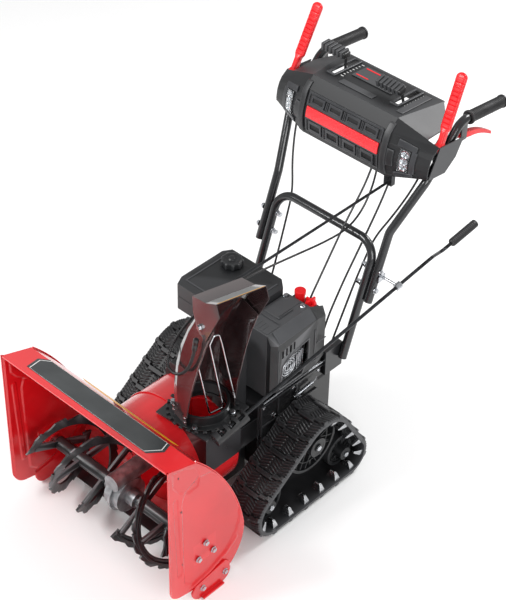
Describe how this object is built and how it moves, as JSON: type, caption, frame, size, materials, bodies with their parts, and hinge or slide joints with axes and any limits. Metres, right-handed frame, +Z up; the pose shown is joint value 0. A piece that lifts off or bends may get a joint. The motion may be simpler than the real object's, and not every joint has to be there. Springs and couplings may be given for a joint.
{
  "type": "tracked snowblower",
  "caption": "Walk-behind tracked snow thrower with serrated auger, impeller, crank-turned chute with tilting deflector, engine, rubber tracks, tubular handles and dash with levers.",
  "frame": {"origin": "on the ground, on the centre plane, below the front edge of the auger housing", "axes": "+Z up, +Y from the housing's mouth back to the handlebars, +X to the machine's left"},
  "size_m": [0.6946, 1.3521, 1.1579],
  "materials": {
    "auger_paint": "satin",
    "black_paint": "satin",
    "black_plastic": "matt",
    "bright_wire": "polished",
    "bronze": "machined",
    "cable_jacket": "smooth",
    "cast_alloy": "as cast",
    "charcoal_plastic": "fine texture",
    "clear_lamp": "clear",
    "gloss_black": "gloss",
    "grey_plastic": "satin",
    "grip_rubber": "ribbed",
    "red_paint": "gloss",
    "red_plastic": "gloss",
    "steel": "plain",
    "track_rubber": "moulded",
    "tube_paint": "satin",
    "zinc": "zinc plated"
  },
  "bodies": {
    "machine": {"housing_wall": "red_paint", "side_plates": "red_paint", "impeller_drum": "red_paint", "scraper_blade": "black_paint", "skid_shoes": "red_paint", "hex_bolts": "zinc", "auger_bearings": "black_paint", "gearbox_case": "cast_alloy", "chute_base": "black_paint", "worm_cage": "black_plastic", "belt_cover": "black_paint", "chassis": "black_paint", "engine_block": "cast_alloy", "muffler_guard": "cast_alloy", "engine_shroud": "charcoal_plastic", "side_cover": "charcoal_plastic", "fuel_tank": "black_plastic", "recoil_housing": "charcoal_plastic", "lower_handle": "tube_paint", "upper_handles": "tube_paint", "handle_grips": "grip_rubber", "crank_eye": "zinc", "dash_bezel": "charcoal_plastic", "dash_top": "charcoal_plastic", "dash_panels": "grey_plastic", "headlamps": "clear_lamp", "lever_brackets": "black_paint", "cable_stay": "zinc", "control_cables": "cable_jacket", "deflector_cable": "cable_jacket", "auger_belts": "track_rubber", "track_belt_left": "track_rubber", "track_belt_right": "track_rubber", "track_frames": "black_paint"},
    "auger": {"auger_shaft": "steel", "auger_flights": "auger_paint", "worm_wheel": "bronze"},
    "impeller": {"impeller": "red_paint", "impeller_pulley": "steel"},
    "crankshaft": {"engine_pulley": "steel"},
    "chute": {"chute_ring": "black_plastic", "chute": "gloss_black", "chute_guard": "bright_wire", "chute_bolts": "zinc"},
    "deflector": {"deflector_hood": "gloss_black"},
    "crank": {"crank_rod": "bright_wire"},
    "crank_handle": {"crank_grip": "grip_rubber"},
    "drive_axle": {"drive_wheels": "black_paint"},
    "front_idler_pair": {"front_idlers": "black_plastic"},
    "rear_idler_pair": {"rear_idlers": "black_plastic"},
    "clutch_left": {"clutch_lever_left": "red_plastic"},
    "clutch_right": {"clutch_lever_right": "red_plastic"},
    "trigger_left": {"steer_trigger_left": "black_plastic"},
    "trigger_right": {"steer_trigger_right": "black_plastic"},
    "speed": {"speed_lever": "black_plastic"},
    "pitch": {"deflector_lever": "black_plastic"},
    "cap": {"fuel_cap": "black_plastic"},
    "knob": {"fuel_knob": "red_plastic"},
    "choke": {"choke_dial": "red_plastic"},
    "starter": {"recoil_handle": "black_plastic"}
  },
  "joints": [
    {"name": "auger_spin", "type": "hinge", "parent": "machine", "child": "auger", "pos_m": [0, 0.135, 0.165], "axis": [1, 0, 0], "continuous": true},
    {"name": "impeller_spin", "type": "hinge", "parent": "machine", "child": "impeller", "pos_m": [0, 0.34, 0.223], "axis": [0, 1, 0], "continuous": true},
    {"name": "crankshaft_spin", "type": "hinge", "parent": "machine", "child": "crankshaft", "pos_m": [0, 0.45, 0.432], "axis": [0, 1, 0], "continuous": true},
    {"name": "crank_turn", "type": "hinge", "parent": "machine", "child": "crank", "pos_m": [0.20323, 0.32524, 0.4005], "axis": [0.1151, 0.9488, 0.2942], "range_deg": [-520, 4290]},
    {"name": "chute_turn", "type": "hinge", "parent": "machine", "child": "chute", "pos_m": [0.098, 0.338, 0.4], "axis": [0, 0, 1], "range_deg": [-166, 21], "deforming": ["deflector_cable"]},
    {"name": "deflector_tilt", "type": "hinge", "parent": "chute", "child": "deflector", "pos_m": [0.20618, 0.30901, 0.798], "axis": [0.2588, 0.9659, 0], "range_deg": [0, 40], "deforming": ["deflector_cable"]},
    {"name": "crank_grip_spin", "type": "hinge", "parent": "crank", "child": "crank_handle", "pos_m": [0.34216, 1.0148, 0.691], "axis": [0.1151, 0.9488, 0.2942], "continuous": true},
    {"name": "axle_spin", "type": "hinge", "parent": "machine", "child": "drive_axle", "pos_m": [0, 0.614, 0.18], "axis": [1, 0, 0], "continuous": true},
    {"name": "front_idler_spin", "type": "hinge", "parent": "machine", "child": "front_idler_pair", "pos_m": [0, 0.4245, 0.0825], "axis": [1, 0, 0], "continuous": true},
    {"name": "rear_idler_spin", "type": "hinge", "parent": "machine", "child": "rear_idler_pair", "pos_m": [0, 0.736, 0.07], "axis": [1, 0, 0], "continuous": true},
    {"name": "clutch_left_pull", "type": "hinge", "parent": "machine", "child": "clutch_left", "pos_m": [0.262, 1.062, 0.964], "axis": [1, 0, 0], "range_deg": [-38, 0], "stiffness_Nm_per_rad": 1, "springref_deg": 28.65},
    {"name": "clutch_right_pull", "type": "hinge", "parent": "machine", "child": "clutch_right", "pos_m": [-0.262, 1.062, 0.964], "axis": [1, 0, 0], "range_deg": [-38, 0], "stiffness_Nm_per_rad": 1, "springref_deg": 28.65},
    {"name": "trigger_left_pull", "type": "hinge", "parent": "machine", "child": "trigger_left", "pos_m": [0.25, 1.172, 0.946], "axis": [1, 0, 0], "range_deg": [0, 20], "stiffness_Nm_per_rad": 0.5, "springref_deg": -22.92},
    {"name": "trigger_right_pull", "type": "hinge", "parent": "machine", "child": "trigger_right", "pos_m": [-0.25, 1.172, 0.946], "axis": [1, 0, 0], "range_deg": [0, 20], "stiffness_Nm_per_rad": 0.5, "springref_deg": -22.92},
    {"name": "speed_select", "type": "hinge", "parent": "machine", "child": "speed", "pos_m": [-0.121, 1.119, 0.925], "axis": [1, 0, 0], "range_deg": [-26, 26]},
    {"name": "deflector_select", "type": "hinge", "parent": "machine", "child": "pitch", "pos_m": [0.1, 1.124, 0.925], "axis": [1, 0, 0], "range_deg": [-38, 10]},
    {"name": "fuel_cap_turn", "type": "hinge", "parent": "machine", "child": "cap", "pos_m": [-0.112, 0.665, 0.6], "axis": [0, 0, 1], "range_deg": [0, 90]},
    {"name": "fuel_knob_turn", "type": "hinge", "parent": "machine", "child": "knob", "pos_m": [0.092, 0.722, 0.55], "axis": [0, 0, 1], "range_deg": [0, 90]},
    {"name": "choke_turn", "type": "hinge", "parent": "machine", "child": "choke", "pos_m": [0.13, 0.724, 0.55], "axis": [0, 0, 1], "range_deg": [-45, 45]},
    {"name": "starter_pull", "type": "slide", "parent": "machine", "child": "starter", "axis": [0, 1, 0], "range_m": [0, 0.3], "stiffness_N_per_m": 10, "springref_m": -0.2}
  ],
  "couplings": [
    {"joint": "auger_spin", "follows": "impeller_spin", "ratio": 0.1},
    {"joint": "crankshaft_spin", "follows": "impeller_spin", "ratio": 2.6829},
    {"joint": "chute_turn", "follows": "crank_turn", "ratio": -0.038462},
    {"joint": "front_idler_spin", "follows": "axle_spin", "ratio": 1.5078},
    {"joint": "rear_idler_spin", "follows": "axle_spin", "ratio": 1.8738}
  ]
}
